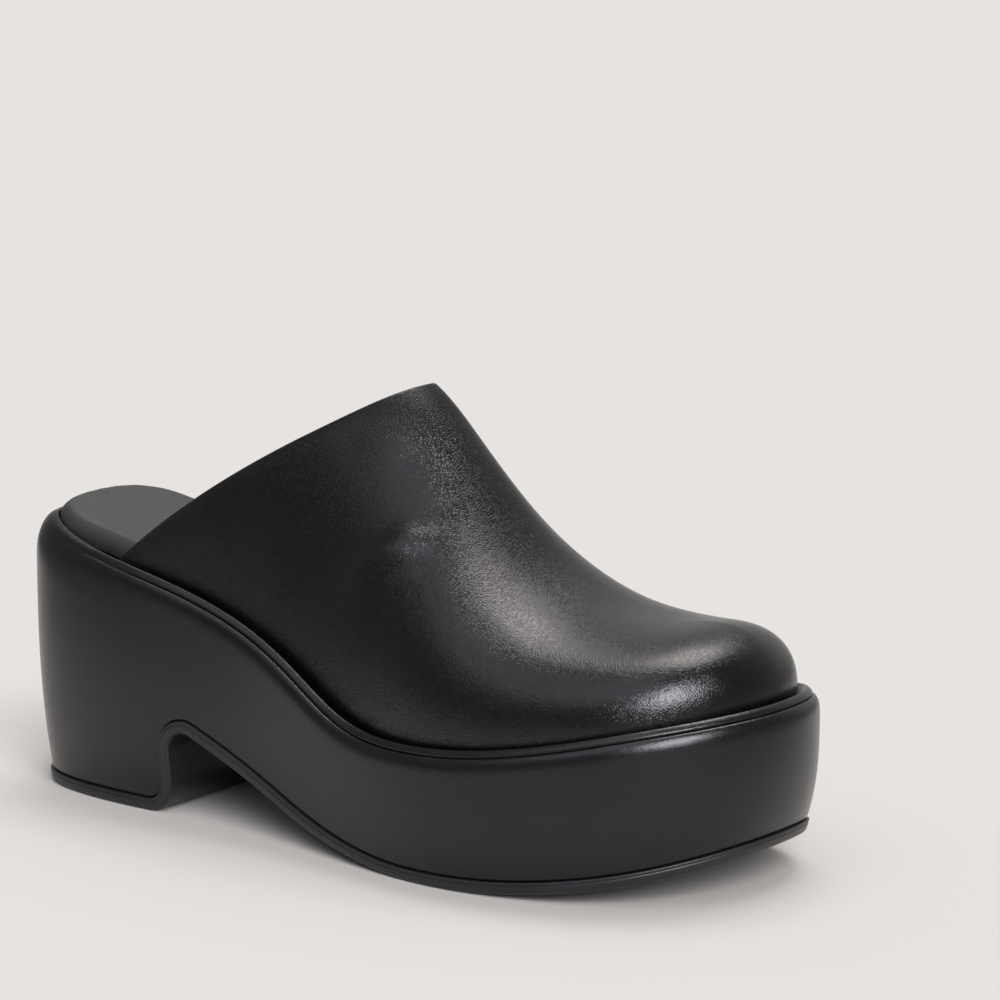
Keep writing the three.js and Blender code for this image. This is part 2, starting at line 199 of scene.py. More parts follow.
# Plan point at a turn from 0 to 1 (heel, outer side, toe, inner side), moved inward by inset.
def outlineAt(turn, inset):
    turn, inset = np.broadcast_arrays(np.asarray(turn, float), np.asarray(inset, float))
    count = len(outlineRows)
    place = (turn % 1.0) * count
    span = np.floor(place).astype(int)
    weights = curveWeights(place - span)
    slopes = curveSlopes(place - span)
    controls = [outlineRows[(span + i - 1) % count] for i in range(4)]
    point = sum(weights[..., i, None] * controls[i] for i in range(4))
    heading = sum(slopes[..., i, None] * controls[i] for i in range(4))
    heading /= np.linalg.norm(heading, axis=-1, keepdims=True)
    inward = np.stack([-heading[..., 1], heading[..., 0]], -1)
    return point + inward * inset[..., None]


# The turn at which the outline passes x, on the outer (-1) or inner (+1) side.
def turnAt(x, side, inset=0.0):
    turns = np.linspace(0.02, 0.48, 900) if side < 0 else np.linspace(0.98, 0.52, 900)
    along = outlineAt(turns, inset)[:, 0]
    return np.interp(x, np.maximum.accumulate(along), turns)


# How far the wall draws in at the sole: further at heel and toe than along the sides.
def taperAt(turns):
    step = outlineAt(turns + 1e-4, 0.0) - outlineAt(turns, 0.0)
    across = step[..., 1] / np.linalg.norm(step, axis=-1)
    return block["taper"][0] + (block["taper"][1] - block["taper"][0]) * across**2


# Distance in from the widest outline at a height between ground line and rim.
def wallInset(height, top, taper):
    share = height / (block["taperStart"] * top)
    draw = taper * np.maximum(0, 1 - np.maximum(share, 0)) ** block["taperPower"]
    over = np.clip(1 - (top - height) / block["shoulderDrop"], 0, 1)
    return draw + block["shoulderWidth"] * (1 - np.sqrt(1 - over**2))


# The underside at the toe: an arc of the spring radius from where the spring starts.
def groundLine(x):
    ahead = np.clip(x - sole["springStartX"], 0, None)
    return sole["springRadius"] - np.sqrt(sole["springRadius"] ** 2 - ahead**2)


# Width of the rim: a soft step from the heel's to the vamp's just behind the collar.
def pocketInset(x):
    starts, ends = upper["collarSideX"] - np.array(block["rimBlend"])
    step = smoothStep(starts, ends, x)
    return block["heelRimWidth"] + (block["rimWidth"] - block["heelRimWidth"]) * step


# Where the local millimetres lie in the row frame.
def localShift():
    low, high = (np.array(corner) * 1000 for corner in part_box("platform"))
    plan = outlineAt(np.linspace(0, 1, 2001), 0.0)
    middle = (plan.min(0) + plan.max(0)) / 2
    return np.array([*((low + high)[:2] / 2 - middle), 0.0])


shift = localShift()

# Quads of a grid of vertex numbers: each joins four neighbours.
def gridFaces(ids):
    return np.stack([ids[:-1, :-1], ids[1:, :-1], ids[1:, 1:], ids[:-1, 1:]], -1).reshape(-1, 4)


# Vertex normals of a set of quads, each vertex weighted by the area round it.
def vertexNormals(points, faces):
    corners = points[faces]
    normal = np.cross(corners[:, 2] - corners[:, 0], corners[:, 3] - corners[:, 1])
    total = np.zeros_like(points)
    for i in range(4):
        np.add.at(total, faces[:, i], normal)
    return total / np.maximum(np.linalg.norm(total, axis=1, keepdims=True), 1e-12)


# Makes a closed smooth mesh from points in local millimetres. Points that coincide are welded.
def makePiece(name, points, faces, fields=None):
    mesh = bpy.data.meshes.new(name)
    used, renumbered = np.unique(faces, return_inverse=True)
    faces = renumbered.reshape(faces.shape)
    points = (points[used] + shift) / 1000
    # a quad that names a vertex twice becomes a triangle
    whole = (np.diff(np.sort(faces, axis=1), axis=1) > 0).all(1)
    narrow = [list(dict.fromkeys(face)) for face in faces[~whole].tolist()]
    corners = faces[whole].tolist() + [face for face in narrow if len(face) > 2]
    mesh.from_pydata(points.tolist(), [], corners)
    for field, values in (fields or {}).items():
        attribute = mesh.attributes.new(field, "FLOAT", "POINT")
        attribute.data.foreach_set("value", values[used].astype(np.float32))
    bm = bmesh.new()
    bm.from_mesh(mesh)
    bmesh.ops.remove_doubles(bm, verts=bm.verts, dist=2e-6)
    bmesh.ops.holes_fill(bm, edges=[e for e in bm.edges if e.is_boundary], sides=0)
    bmesh.ops.recalc_face_normals(bm, faces=bm.faces)
    openEdges = sum(1 for e in bm.edges if not e.is_manifold)
    for face in bm.faces:
        face.smooth = True
    bm.to_mesh(mesh)
    bm.free()
    piece = bpy.data.objects.new(name, mesh)
    bpy.context.scene.collection.objects.link(piece)
    print("piece", name, "faces", len(mesh.polygons), "open edges", openEdges)
    return piece


# Underside of the whole shoe seen from the side, as points (x, z) from heel to toe: straight lines
# between corners, each rounded by an arc of its radius.
def undersidePath():
    corners = [
        (-20.0, 0.0, 0.0),
        (sole["breastX"], 0.0, sole["breastRadius"]),
        (sole["breastX"], sole["notchHeight"], sole["notchRadius"]),
        (sole["archEndX"], 0.0, sole["archRadius"]),
        (sole["springStartX"], 0.0, 0.0),
    ]
    path = [np.array(corners[0][:2])]
    for k in range(1, 4):
        corner = np.array(corners[k][:2])
        before = np.array(corners[k - 1][:2]) - corner
        after = np.array(corners[k + 1][:2]) - corner
        before /= np.linalg.norm(before)
        after /= np.linalg.norm(after)
        radius = corners[k][2]
        half = math.acos(before @ after) / 2
        middle = corner + (before + after) / np.linalg.norm(before + after) * radius / math.sin(half)
        start = corner + before * radius / math.tan(half) - middle
        end = corner + after * radius / math.tan(half) - middle
        first = math.atan2(start[1], start[0])
        turn = (math.atan2(end[1], end[0]) - first + 3 * math.pi) % (2 * math.pi) - math.pi
        for share in np.linspace(0, 1, 40):
            angle = first + turn * share
            path.append(middle + radius * np.array([math.cos(angle), math.sin(angle)]))
    path.append(np.array(corners[4][:2]))
    return np.array(path)


# The block's wall is made of columns that run from the sole's edge up to the shoulder.
wallColumns = {
    "heel": 46,
    "waist": 240,
    "toe": 120,
    "rows": 30,
    "waistFrom": 45.0,
    "waistTo": 170.0,
    "averageOver": 24.0,     # stretch of the sole's edge, to each side, that sets a column's top
    "blendOver": 20.0,       # where that starts and ends to count
}


# Evens out a grid of side-view points between its fixed borders, so that its lines never cross. Each
# round moves a point to the mean of its neighbours, weighted by how close the crossing lines lie.
def relaxGrid(grid, rounds=1200):
    for _ in range(rounds):
        along = (grid[2:, 1:-1] - grid[:-2, 1:-1]) / 2
        up = (grid[1:-1, 2:] - grid[1:-1, :-2]) / 2
        cross = (grid[2:, 2:] - grid[2:, :-2] - grid[:-2, 2:] + grid[:-2, :-2]) / 4
        a = (up**2).sum(-1, keepdims=True)
        b = (along * up).sum(-1, keepdims=True)
        c = (along**2).sum(-1, keepdims=True)
        sums = a * (grid[2:, 1:-1] + grid[:-2, 1:-1]) + c * (grid[1:-1, 2:] + grid[1:-1, :-2])
        grid[1:-1, 1:-1] = (sums - 2 * b * cross) / (2 * (a + c))
    return grid


# Waist columns follow the sole's edge round the notch: foot points, directions into the shoe, and
# wall points (x, z) from the leather's lower edge up to the shoulder.
def waistColumns():
    path = undersidePath()
    length = np.r_[0, np.cumsum(np.linalg.norm(np.diff(path, axis=0), axis=1))]
    low = wallColumns["waistFrom"] - path[0, 0]
    high = length[-1] - (sole["springStartX"] - wallColumns["waistTo"])
    place = low + (high - low) / wallColumns["waist"] * np.arange(wallColumns["waist"] + 1)
    foot = np.stack([np.interp(place, length, path[:, i]) for i in range(2)], 1)
    ahead = np.stack([np.interp(place + 0.2, length, path[:, i]) for i in range(2)], 1)
    behind = np.stack([np.interp(place - 0.2, length, path[:, i]) for i in range(2)], 1)
    heading = ahead - behind
    heading /= np.linalg.norm(heading, axis=1, keepdims=True)
    inward = np.stack([-heading[:, 1], heading[:, 0]], 1)
    # the x at the shoulder is the foot's x averaged over a stretch of the path
    stretch, blendOver = wallColumns["averageOver"], wallColumns["blendOver"]
    span = np.linspace(-stretch, stretch, 49)
    weight = np.cos(span / stretch * math.pi / 2) ** 2
    top = (np.interp(place[:, None] + span, length, path[:, 0]) * weight).sum(1) / weight.sum()
    blend = smoothStep(low, low + blendOver, place) * smoothStep(high, high - blendOver, place)
    top = foot[:, 0] + (top - foot[:, 0]) * blend
    bottom = foot + inward * (leatherFoot + block["curl"][0])
    ceiling = np.stack([top, rimHeight(top) - block["shoulderDrop"]], 1)
    share = np.linspace(0, 1, wallColumns["rows"])[None, :, None]
    grid = relaxGrid(bottom[:, None] + (ceiling - bottom)[:, None] * share)
    return foot[:-1], inward[:-1], grid[:-1]


waist = waistColumns()


# Upright columns at the heel or the toe, each at a fixed turn.
def uprightColumns(turns):
    x = outlineAt(turns, 0.0)[:, 0]
    ahead = np.clip(x - sole["springStartX"], 0, None) / sole["springRadius"]
    foot = np.stack([x, groundLine(x)], 1)
    inward = np.stack([np.zeros_like(x), 1 / np.sqrt(1 - ahead**2)], 1)
    bottom = foot + inward * (leatherFoot + block["curl"][0])
    ceiling = np.stack([x, rimHeight(x) - block["shoulderDrop"]], 1)
    share = np.linspace(0, 1, wallColumns["rows"])[None, :, None]
    return foot, inward, bottom[:, None] + (ceiling - bottom)[:, None] * share


# All columns of one side. A waist column has no turn of its own (nan): it takes it from its x.
def sideColumns(side):
    tip = 0.0 if side < 0 else 1.0
    count = wallColumns["heel"]
    heelTurns = np.linspace(tip, turnAt(wallColumns["waistFrom"], side), count, endpoint=False)
    toeTurns = np.linspace(turnAt(wallColumns["waistTo"], side), 0.5, wallColumns["toe"])
    parts = [uprightColumns(heelTurns), waist, uprightColumns(toeTurns)]
    foot, inward, wall = [np.concatenate([part[i] for part in parts]) for i in range(3)]
    return np.concatenate([heelTurns, np.full(len(waist[0]), np.nan), toeTurns]), foot, inward, wall


# A column's own turn, or the turn at which its side of the outline passes x.
def columnTurns(side, ownTurn, x):
    own = ownTurn[:, None] if x.ndim == 2 else ownTurn
    return np.where(np.isnan(own), turnAt(x, side), own)


# Places side-view points (x, z) on the block's wall, moved outward by proud.
def onWall(side, ownTurn, x, z, proud):
    turns = columnTurns(side, ownTurn, x)
    xOuter = outlineAt(turns, 0.0)[..., 0]
    ground = groundLine(xOuter)
    top = rimHeight(xOuter) - ground
    inset = wallInset(np.clip(z - ground, 0, top - block["shoulderDrop"]), top, taperAt(turns)) - proud
    return np.concatenate([outlineAt(turns, inset), z[..., None]], -1)


# One side of the block: the curl at the outsole, the wall, then the shoulder, crease and bead.
def platformSide(side):
    ownTurn, foot, inward, wall = sideColumns(side)
    # the leather's lower edge curls in over the outsole
    angle = np.linspace(0, math.pi / 2, 6)[:-1]
    offset = leatherFoot + block["curl"][0] * (1 - np.cos(angle))
    x = foot[:, 0:1] + inward[:, 0:1] * offset
    z = foot[:, 1:2] + inward[:, 1:2] * offset
    behind = block["curl"][1] * (1 - np.sin(angle))
    rows = [onWall(side, ownTurn, x, z, -np.broadcast_to(behind, x.shape))]
    rows.append(onWall(side, ownTurn, wall[..., 0], wall[..., 1], 0.0))
    # at the heel the shoulder rolls over up to the insole
    topTurn = columnTurns(side, ownTurn, wall[:, -1, 0])
    topOuter = outlineAt(topTurn, 0.0)[:, 0]
    bead, roll = smoothTable(beadRows, 3)[1:], smoothTable(heelRows, 3)[1:]
    whole = smoothStep(block["beadStarts"][1], block["beadStarts"][0], topOuter)[:, None]
    inset = roll[:, 0] + (bead[:, 0] - roll[:, 0]) * whole
    drop = roll[:, 1] + (bead[:, 1] - roll[:, 1]) * whole + joinTrough(side, topOuter, bead)
    atPocket = smoothStep(*block["beadInside"], inset)
    inset = inset + (pocketInset(topOuter) - block["rimWidth"])[:, None] * atPocket
    plan = outlineAt(np.repeat(topTurn[:, None], len(bead), 1), inset)
    rows.append(np.concatenate([plan, (rimHeight(topOuter)[:, None] - drop)[..., None]], -1))
    return np.concatenate(rows, 1)


# The cover's slanting join: a narrow trough across the shoulder of the outer side.
def joinTrough(side, x, bead):
    share = np.clip(bead[:, 1] / block["joinReach"], 0, 1)
    line = block["join"][0] + (block["join"][1] - block["join"][0]) * share
    depth = block["joinDepth"] * np.exp(-((x[:, None] - line) / block["joinWidth"]) ** 2)
    insetFade, dropFade = block["joinFades"]
    onShoulder = smoothStep(*insetFade, bead[:, 0]) * smoothStep(*dropFade, bead[:, 1])
    return depth * onShoulder * (side < 0)


# Joins an outer and an inner side, column by column, with strips across at both ends.
def closedSides(outer, inner):
    count, rows = outer.shape[:2]
    points = np.concatenate([outer.reshape(-1, 3), inner.reshape(-1, 3)])
    outerIds = np.arange(count * rows).reshape(count, rows)
    innerIds = outerIds + count * rows
    across = [gridFaces(np.stack([outerIds[:, k], innerIds[:, k]], 1)) for k in (0, -1)]
    return points, np.concatenate([gridFaces(outerIds), gridFaces(innerIds), *across])


# The leather block: its two sides joined across underneath and inside the rim.
def makePlatform():
    points, faces = closedSides(platformSide(-1), platformSide(1))
    piece = makePiece("platform_leather", points, faces)
    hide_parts("platform")
    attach(piece, "root")
    return piece


# Edge of the outsole from its top face round to the ground: height above the ground side, and
# how far it stands out.
soleEdge = np.array([
    (4.0, -1.6), (4.0, 0.35), (3.93, 0.62), (3.72, 0.82), (3.4, 0.88), (3.2, 0.86), (3.12, 0.74),
    (3.02, 0.68), (2.9, 0.74), (2.8, 0.88), (2.4, 0.95), (1.5, 0.98), (0.8, 0.92), (0.35, 0.74),
    (0.1, 0.42), (0.0, 0.0), (0.0, -1.2),
])


# One side of the outsole: its edge carried along the foot points of the wall's columns.
def outsoleSide(side):
    ownTurn, foot, inward, _ = sideColumns(side)
    x = foot[:, 0:1] + inward[:, 0:1] * soleEdge[:, 0]
    z = foot[:, 1:2] + inward[:, 1:2] * soleEdge[:, 0]
    lift = np.broadcast_to(soleEdge[:, 1], x.shape)
    return onWall(side, ownTurn, x, z, lift)


# The rubber runner: its two sides joined across at the top and at the ground.
def makeOutsole():
    points, faces = closedSides(outsoleSide(-1), outsoleSide(1))
    piece = makePiece("outsole_rubber", points, faces)
    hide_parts("outsole")
    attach(piece, "root")
    return piece


insole = {
    "rise": 4.6,             # top of the pad above the rim
    "roll": 4.6,             # width of its rounded edge
    "gap": 0.6,              # to the vamp's inside
    "edgeDrop": 0.9,         # how far below the rim the rounding starts
    "edgeRing": 0.5,         # a ring this far below that start
    "edgeBlend": (30.0, 4.0),  # behind the collar's foot: where the edge moves in, where it has
    "seat": 0.3,             # above the pocket's floor
    "topRings": (1.2, 2.6, 4.4, 6.4),  # further rings, in from the rounding
    "columns": 240,
    "strips": 25,
    "crown": 0.25,
    "crownWidth": 0.36,      # half of it, as a share of the ball width
    "wrinkle": 0.05,
    "wrinkleTurns": (0.9, 0.06),  # radians per millimetre across and along
    "wrinkleBend": (1.4, 0.035),  # radians by which its lines bend, and per millimetre along
    "wrinkleStart": 0.8,
    "reliefFade": 1.2,       # height below the top over which both fade
}


# Where the pad's edge lies, in from the outline: a soft step from the heel's rim to the vamp.
def insoleEdge(x):
    atHeel = block["heelRimWidth"] + upper["clearance"]
    inVamp = block["rimWidth"] + upper["clearance"] + upper["wall"] + insole["gap"]
    starts, ends = upper["collarSideX"] - np.array(insole["edgeBlend"])
    return atHeel + (inVamp - atHeel) * smoothStep(starts, ends, x)


# The pad: rings in from its edge, rounded as a quarter of an ellipse, then strips across the middle.
def makeInsole():
    count, strips = insole["columns"], insole["strips"]
    turns = np.linspace(0, 1, count, endpoint=False)
    edge = insoleEdge(outlineAt(turns, 0.0)[:, 0])
    drop, rise = insole["edgeDrop"], insole["rise"]
    steps = [(0.0, insole["seat"] - block["rimDepth"]), (0.0, -drop - insole["edgeRing"])]
    for angle in np.linspace(0, math.pi / 2, 12):
        steps.append((insole["roll"] * (1 - math.cos(angle)), (rise + drop) * math.sin(angle) - drop))
    steps += [(insole["roll"] + more, rise) for more in insole["topRings"]]
    rings = []
    for inset, height in steps:
        plan = outlineAt(turns, edge + inset)
        rings.append(np.column_stack([plan, rimHeight(plan[:, 0]) + height]))
    rings = np.array(rings)
    half = count // 2
    inside = (-np.arange(half + 1)) % count
    outer, inner = rings[-1][:half + 1][:, None], rings[-1][inside][:, None]
    middle = outer + (inner - outer) * np.linspace(0, 1, strips)[None, :, None]
    points = np.concatenate([rings.reshape(-1, 3), middle.reshape(-1, 3)])
    ids = np.arange(len(steps) * count).reshape(len(steps), count)
    middleIds = len(steps) * count + np.arange((half + 1) * strips).reshape(half + 1, strips)
    faces = np.concatenate([
        gridFaces(np.concatenate([ids, ids[:, :1]], 1)),
        gridFaces(middleIds),
        gridFaces(np.stack([ids[0, :half + 1], ids[0, inside]], 1)),
    ])
    points[:, 2] += padRelief(points)
    piece = makePiece("insole_pad", points, faces)
    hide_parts("insole")
    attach(piece, "root")
    return piece


# How much the pad's top stands up: crowned as a parabola across its width, plus shallow wrinkles, a
# sine across times a slower sine along, that run lengthwise.
def padRelief(points):
    x, y = points[:, 0], points[:, 1]
    centre = 0.5 * (outlineAt(turnAt(x, -1), 0.0)[:, 1] + outlineAt(turnAt(x, 1), 0.0)[:, 1])
    side = (y - centre) / (insole["crownWidth"] * last["ballWidth"])
    onTop = smoothStep(insole["rise"] - insole["reliefFade"], insole["rise"], points[:, 2] - rimHeight(x))
    across, along = insole["wrinkleTurns"]
    bend, bendTurns = insole["wrinkleBend"]
    wave = np.sin(y * across + bend * np.sin(x * bendTurns)) * np.sin(x * along + insole["wrinkleStart"])
    return onTop * (insole["crown"] + insole["wrinkle"] * wave) * np.clip(1 - side**2, 0, 1)


# The vamp is a grid of stations from the collar to the toe tip and rows from the rim to the crest,
# closer together round the folds.
vamp = {
    "stations": 210,
    "rows": 104,
    "denseAt": (0.37, 0.55),
    "denseSpread": (0.09, 0.2),
    "blur": 14,              # rounds of smoothing across the crest
    "nearCollar": 60,        # stations within reach of the turned edge
    "edgeThins": (0.55, 0.85, 0.95),  # rows where the turned edge starts and ends to thin, and by how much
    "dullWidth": (26.0, 4.0),  # distance from the collar where the duller leather ends and is full
    "dullRows": (0.5, 0.85),
    "toeGrain": (0.5, 0.8, 0.3),  # stations where the grain gets flatter, and by how much
    "crinkleReach": 13.0,    # round each fold
}


# Shares from 0 to 1 that lie closer together round one of them.
def denseShares(count, centre, spread):
    even = np.linspace(0, 1, 2001)
    total = np.r_[0, np.cumsum(1 + 1.2 * np.exp(-((even[1:] - centre) / spread) ** 2))]
    return np.interp(np.linspace(0, 1, count + 1), total / total[-1], even)


stationShares = denseShares(vamp["stations"], vamp["denseAt"][0], vamp["denseSpread"][0])
rowShares = denseShares(vamp["rows"], vamp["denseAt"][1], vamp["denseSpread"][1])


# Points of one side of the vamp. A section is a superellipse: its sweep turns it from lying in the
# collar's slanting plane to closing round the toe.
def vampSide(side):
    seatInset = block["rimWidth"] + upper["clearance"]
    turns = np.linspace(turnAt(upper["collarSideX"], side, seatInset), 0.5, 900)
    seat = outlineAt(turns, seatInset)
    length = np.r_[0, np.cumsum(np.linalg.norm(np.diff(seat, axis=0), axis=1))]
    foot = stationShares
    root = np.stack([np.interp(foot * length[-1], length, seat[:, i]) for i in range(2)], 1)
    section = [np.interp(foot, sectionTable[:, 0], sectionTable[:, k])[:, None] for k in range(1, 6)]
    crest, sweep, sideness, crown, bulge = section
    sweep = np.clip(sweep, 0, 1)
    angle = math.pi / 2 * rowShares[None, :]
    out = np.clip(np.cos(angle), 0, 1) ** (2 / sideness) * (1 + bulge * np.sin(2 * angle))
    rise = np.sin(angle) ** (2 / crown)
    lean = rise - upper["collarSag"] * rise * (1 - rise)
    inward = 1 - out
    inward[:, -1] = 1
    crestX = upper["collarTopX"] + (upper["crestEndX"] - upper["collarTopX"]) * crest
    x = root[:, 0:1] + (crestX - root[:, 0:1]) * (lean + (inward - lean) * sweep)
    y = root[:, 1:2] + (upper["crestSide"] - root[:, 1:2]) * inward
    low = rimHeight(root[:, 0:1]) - block["rimDepth"] - upper["seatDrop"]
    z = low + (crestHeight(crestX + sweep * (x - crestX)) - low) * rise
    return np.stack([x, y, z], -1)


# Troughs and bulges pressed into the leather. Each is a line of (station share, row share) points on
# one side, with a half width and a depth in millimetres; a negative depth stands out.
foldRows = [
    {"side": -1, "line": [(0.322, 0.33), (0.332, 0.4), (0.345, 0.48), (0.357, 0.55), (0.368, 0.6)],
     "width": 5.8, "depth": -2.4},
    {"side": -1, "line": [(0.343, 0.577), (0.357, 0.636), (0.367, 0.695), (0.38, 0.766)],
     "width": 3.0, "depth": 0.2},
    {"side": -1, "line": [(0.27, 0.73), (0.3, 0.745), (0.33, 0.74)], "width": 7.0, "depth": -0.3},
    {"side": -1, "line": [(0.375, 0.455), (0.38, 0.49), (0.388, 0.521)], "width": 1.1, "depth": 0.08},
    {"side": -1, "line": [(0.421, 0.508), (0.425, 0.54), (0.428, 0.571)], "width": 1.1, "depth": 0.1},
    {"side": -1, "line": [(0.431, 0.441), (0.433, 0.465), (0.434, 0.489)], "width": 1.1, "depth": 0.1},
    {"side": -1, "line": [(0.415, 0.35), (0.416, 0.385), (0.415, 0.418)], "width": 1.1, "depth": 0.08},
    {"side": -1, "line": [(0.341, 0.35), (0.35, 0.38), (0.359, 0.418)], "width": 1.1, "depth": 0.08},
    {"side": -1, "line": [(0.05, 0.66), (0.1, 0.6), (0.17, 0.55)], "width": 6.0, "depth": 0.25},
    {"side": 1, "line": [(0.33, 0.42), (0.35, 0.52), (0.366, 0.62), (0.376, 0.72)],
     "width": 3.6, "depth": -0.8},
    {"side": 1, "line": [(0.335, 0.56), (0.352, 0.66), (0.366, 0.76)], "width": 2.4, "depth": 0.35},
    {"side": 1, "line": [(0.41, 0.42), (0.418, 0.5), (0.424, 0.58)], "width": 1.2, "depth": 0.1},
]
foldShape = {"samples": 48, "reach": 45.0, "endShare": 0.06, "endPower": 0.9}


# Depth of one fold at every point: a bell curve of the distance to its line, whose height is a sine
# along the line, so that it fades at its ends.
def foldDepth(points, sheet, fold):
    knots = np.array(fold["line"])
    share = np.linspace(0, 1, foldShape["samples"])
    place = [np.interp(share, np.linspace(0, 1, len(knots)), knots[:, i]) for i in range(2)]
    column = np.interp(place[0], stationShares, np.arange(len(stationShares)))
    row = np.interp(place[1], rowShares, np.arange(len(rowShares)))
    left, low = column.astype(int), row.astype(int)
    a, b = (column - left)[:, None], (row - low)[:, None]
    line = (1 - a) * ((1 - b) * sheet[left, low] + b * sheet[left, low + 1])
    line += a * ((1 - b) * sheet[left + 1, low] + b * sheet[left + 1, low + 1])
    end = foldShape["endShare"]
    fade = np.sin(math.pi * (end + (1 - 2 * end) * share)) ** foldShape["endPower"]
    move = np.zeros(len(points))
    near = np.linalg.norm(points - line.mean(0), axis=1) < foldShape["reach"]
    gap = np.linalg.norm(points[near][:, None] - line[None], axis=2)
    move[near] = -fold["depth"] * (fade * np.exp(-(gap / fold["width"]) ** 2)).max(1)
    return move


# Both sides of the vamp, after a light blur across each section that rounds the crest.
def vampHalves():
    outer, inner = vampSide(-1), vampSide(1)
    across = np.concatenate([outer, inner[:, -2::-1]], 1)
    for _ in range(vamp["blur"]):
        across[:, 1:-1] = 0.25 * across[:, :-2] + 0.5 * across[:, 1:-1] + 0.25 * across[:, 2:]
    rows = vamp["rows"]
    return across[:, :rows + 1], across[:, :rows - 1:-1], across[0]


# The vamp as one sheet: the outer side from collar to toe, then the inner side back to the collar.
# Its two crests share their vertices. The turned edge and the folds then move it along its normals.
def makeUpper():
    outer, inner, collar = vampHalves()
    rows = vamp["rows"]
    sheet = np.concatenate([outer, inner[-2::-1]])
    total = len(sheet)
    ids = np.arange(sheet.shape[0] * sheet.shape[1]).reshape(sheet.shape[:2])
    mirrored = np.minimum(np.arange(total), total - 1 - np.arange(total))
    ids[:, rows] = ids[mirrored, rows]
    plain = sheet.reshape(-1, 3)
    faces = gridFaces(ids)
    normals = vertexNormals(plain, faces)
    outward = np.sign((normals * (plain - plain.mean(0))).sum())
    normals *= outward
    seatNormals = normals[ids[:, 0]] * (1, 1, 0)
    seatNormals /= np.linalg.norm(seatNormals, axis=1, keepdims=True)
    normals[ids[:, 0]] = seatNormals
    station = np.broadcast_to(mirrored[:, None], ids.shape).reshape(-1)
    rowShare = np.broadcast_to(rowShares[None, :], ids.shape).reshape(-1)
    fromCollar = np.full(len(plain), 99.0)
    near = station < vamp["nearCollar"]
    fromCollar[near] = np.linalg.norm(plain[near][:, None] - collar[None], axis=2).min(1)
    # the turned edge dips in towards the collar
    thinFrom, thinTo, thinner = vamp["edgeThins"]
    curl = upper["toplineDepth"] * (1 - thinner * smoothStep(thinFrom, thinTo, rowShare))
    move = -curl * np.clip(1 - fromCollar / upper["topline"], 0, 1) ** 2
    for fold in foldRows:
        move = move + foldDepth(plain, outer if fold["side"] < 0 else inner, fold)
    points = plain + normals * move[:, None]
    normals = vertexNormals(points, faces) * outward
    normals[ids[:, 0]] = seatNormals
    for column in (0, total - 1):
        ids[column, rows] = ids[0, rows]
    lining = plain - normals * upper["wall"]
    flatFrom, flatTo, flatter = vamp["toeGrain"]
    looks = {
        "grain": 1 - flatter * smoothStep(flatFrom, flatTo, stationShares[station]),
        "crinkle": nearFolds(points, ids),
        "dull": smoothStep(*vamp["dullWidth"], fromCollar) * smoothStep(*vamp["dullRows"], rowShare),
    }
    return leatherShell(points, normals, ids, lining, looks), liningShell(lining, normals, ids)


# How close each point lies to the middle of a fold: the highest of bell curves round them.
def nearFolds(points, ids):
    most = np.zeros(len(points))
    for fold in foldRows:
        station, row = fold["line"][len(fold["line"]) // 2]
        column = np.searchsorted(stationShares, station)
        column = column if fold["side"] < 0 else len(ids) - 1 - column
        centre = points[ids[column, np.searchsorted(rowShares, row)]]
        gap = np.linalg.norm(points - centre, axis=1)
        most = np.maximum(most, np.exp(-(gap / vamp["crinkleReach"]) ** 2))
    return most


# The collar's lip: half a circle from the outer face over to the lining.
def lipPoints(points, normals, ids, steps=9):
    rows = ids.shape[1] - 1
    edge = np.concatenate([ids[0, :rows + 1], ids[-1, rows - 1::-1]])
    inside = np.concatenate([ids[1, :rows + 1], ids[-2, rows - 1::-1]])
    away = points[edge] - points[inside]
    away /= np.linalg.norm(away, axis=1, keepdims=True)
    half = upper["wall"] / 2
    middle = points[edge] - normals[edge] * half
    angle = np.linspace(0, math.pi, steps)[None, :, None]
    return middle[:, None] + half * (np.cos(angle) * normals[edge][:, None] + np.sin(angle) * away[:, None])


# The outer leather: its face, the lip, a narrow hem that the turned edge makes inside, and its own
# back a little deeper, closed along the seat.
def leatherShell(points, normals, ids, lining, looks):
    tuck, rows = upper["hemRows"], ids.shape[1] - 1
    lip = lipPoints(points, normals, ids)
    steps, count = lip.shape[1], len(points)
    lipIds = count + np.arange(lip.shape[0] * steps).reshape(lip.shape[:2])
    backIds = ids + count + lip.shape[0] * steps
    back = points - normals * upper["backDepth"]
    allPoints = np.concatenate([points, lip.reshape(-1, 3), back])
    edgeOuter = [lining[ids[k, :rows + 1]] for k in range(tuck)]
    edgeInner = [lining[ids[-1 - k, rows - 1::-1]] for k in range(tuck)]
    hem = np.concatenate([np.array(edgeOuter), np.array(edgeInner)], 1)
    hem[0] = lip[:, -1]
    hemIds = len(allPoints) + np.arange(hem.shape[0] * hem.shape[1]).reshape(hem.shape[:2])
    allPoints = np.concatenate([allPoints, hem.reshape(-1, 3)])
    backHem = np.concatenate([backIds[tuck - 1, :rows + 1], backIds[-tuck, rows - 1::-1]])
    behindHem = slice(tuck - 1, len(ids) - tuck + 1)
    faces = np.concatenate([
        gridFaces(ids),
        gridFaces(lipIds),
        gridFaces(hemIds),
        gridFaces(np.stack([hemIds[-1], backHem])),
        gridFaces(backIds[behindHem]),
        gridFaces(np.stack([ids[behindHem, 0], backIds[behindHem, 0]])),
    ])
    # away from the outer face the grain is whole, and nothing is creased or dull
    fields = {}
    for field, values in looks.items():
        elsewhere = 1.0 if field == "grain" else 0.0
        fields[field] = np.full(len(allPoints), elsewhere)
        fields[field][:count] = values
    piece = makePiece("upper_leather", allPoints, faces, fields)
    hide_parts("upper")
    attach(piece, "root")
    return piece


